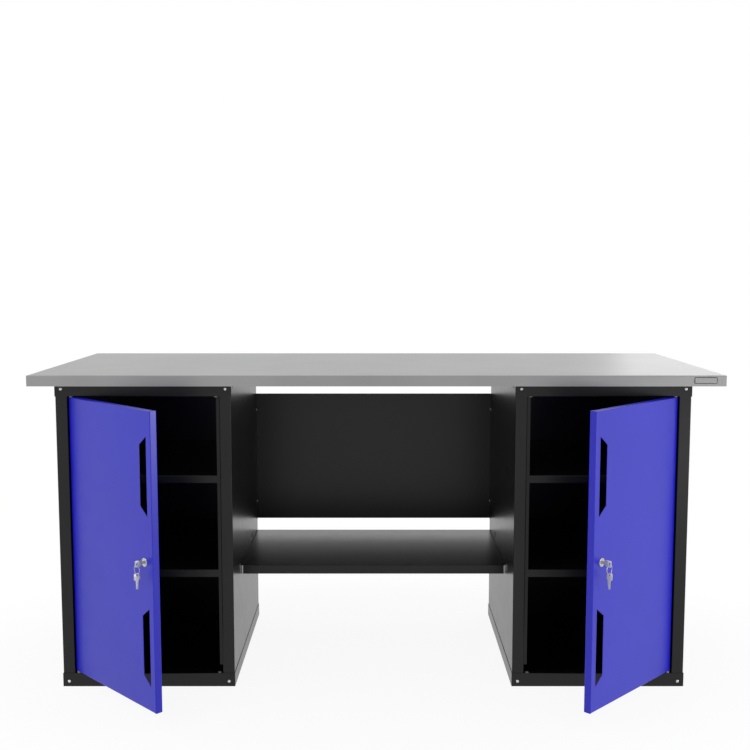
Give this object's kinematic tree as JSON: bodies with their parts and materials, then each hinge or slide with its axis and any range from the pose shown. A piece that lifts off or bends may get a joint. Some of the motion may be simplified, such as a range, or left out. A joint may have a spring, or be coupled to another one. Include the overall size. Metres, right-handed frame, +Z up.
{
  "type": "double pedestal workbench",
  "caption": "Workshop bench with a sheet steel worktop on two folded sheet pedestals with hinged, lockable doors, joined by a middle shelf and a rear screen.",
  "frame": {"origin": "on the floor, midway along the worktop, midway between the open doors' foremost edge and the worktop's rear edge", "axes": "+X to the right of someone at the bench, +Y from front to back, +Z up"},
  "size_m": [1.8, 0.9409, 0.84],
  "materials": {
    "worktop_steel": "satin zinc-coated sheet",
    "core_board": "raw board",
    "frame_paint": "semi-gloss powder coat",
    "door_paint": "semi-gloss powder coat",
    "zinc": "zinc plated",
    "lock_chrome": "polished",
    "key_nickel": "nickel plated",
    "bush_nylon": "natural nylon"
  },
  "bodies": {
    "frame": {"worktop_skin": "worktop_steel", "worktop_core": "core_board", "worktop_screws": "zinc", "middle_shelf": "frame_paint", "middle_shelf_screws": "zinc", "middle_shelf_nuts": "zinc", "rear_screen": "frame_paint", "screen_screws": "zinc", "screen_nuts": "zinc", "left_base_tray": "frame_paint", "left_top_cap": "frame_paint", "left_outer_side": "frame_paint", "left_inner_side": "frame_paint", "left_back_panel": "frame_paint", "left_upper_shelf": "frame_paint", "left_lower_shelf": "frame_paint", "left_frame_screws": "zinc", "left_frame_nuts": "zinc", "left_pivot_bushes": "bush_nylon", "right_base_tray": "frame_paint", "right_top_cap": "frame_paint", "right_outer_side": "frame_paint", "right_inner_side": "frame_paint", "right_back_panel": "frame_paint", "right_upper_shelf": "frame_paint", "right_lower_shelf": "frame_paint", "right_frame_screws": "zinc", "right_frame_nuts": "zinc", "right_pivot_bushes": "bush_nylon"},
    "left_door": {"left_door_panel": "door_paint", "left_upper_pivot": "zinc", "left_lower_pivot": "zinc", "left_pivot_washer": "bush_nylon", "left_lock_housing": "lock_chrome", "left_lock_nut": "zinc"},
    "left_lock": {"left_lock_plug": "lock_chrome", "left_lock_cam": "zinc", "left_cam_screw": "zinc", "left_key": "key_nickel"},
    "left_ring": {"left_key_ring": "key_nickel"},
    "left_spare": {"left_spare_key": "key_nickel"},
    "right_door": {"right_door_panel": "door_paint", "right_upper_pivot": "zinc", "right_lower_pivot": "zinc", "right_pivot_washer": "bush_nylon", "right_lock_housing": "lock_chrome", "right_lock_nut": "zinc"},
    "right_lock": {"right_lock_plug": "lock_chrome", "right_lock_cam": "zinc", "right_cam_screw": "zinc", "right_key": "key_nickel"},
    "right_ring": {"right_key_ring": "key_nickel"},
    "right_spare": {"right_spare_key": "key_nickel"}
  },
  "joints": [
    {"name": "left_door_hinge", "type": "hinge", "parent": "frame", "child": "left_door", "pos_m": [-0.7956, -0.1935, 0.411], "axis": [0, 0, -1], "range_deg": [-45.8, 64.2]},
    {"name": "left_lock_turn", "type": "hinge", "parent": "left_door", "child": "left_lock", "pos_m": [-0.55712, -0.44562, 0.411], "axis": [-0.7169, -0.6972, 0], "range_deg": [0, 90]},
    {"name": "left_ring_swing", "type": "hinge", "parent": "left_lock", "child": "left_ring", "pos_m": [-0.57318, -0.46124, 0.40915], "axis": [-0.6972, 0.7169, 0], "range_deg": [-5, 35]},
    {"name": "left_spare_key_swing", "type": "hinge", "parent": "left_ring", "child": "left_spare", "pos_m": [-0.57318, -0.46124, 0.38615], "axis": [-0.6972, 0.7169, 0], "range_deg": [-10, 30]},
    {"name": "right_door_hinge", "type": "hinge", "parent": "frame", "child": "right_door", "pos_m": [0.7796, -0.1935, 0.411], "axis": [0, 0, 1], "range_deg": [-45.8, 64.2]},
    {"name": "right_lock_turn", "type": "hinge", "parent": "right_door", "child": "right_lock", "pos_m": [0.54112, -0.44562, 0.411], "axis": [-0.7169, 0.6972, 0], "range_deg": [0, 90]},
    {"name": "right_ring_swing", "type": "hinge", "parent": "right_lock", "child": "right_ring", "pos_m": [0.55718, -0.46124, 0.40915], "axis": [-0.6972, -0.7169, 0], "range_deg": [-5, 35]},
    {"name": "right_spare_key_swing", "type": "hinge", "parent": "right_ring", "child": "right_spare", "pos_m": [0.55718, -0.46124, 0.38615], "axis": [-0.6972, -0.7169, 0], "range_deg": [-10, 30]}
  ]
}
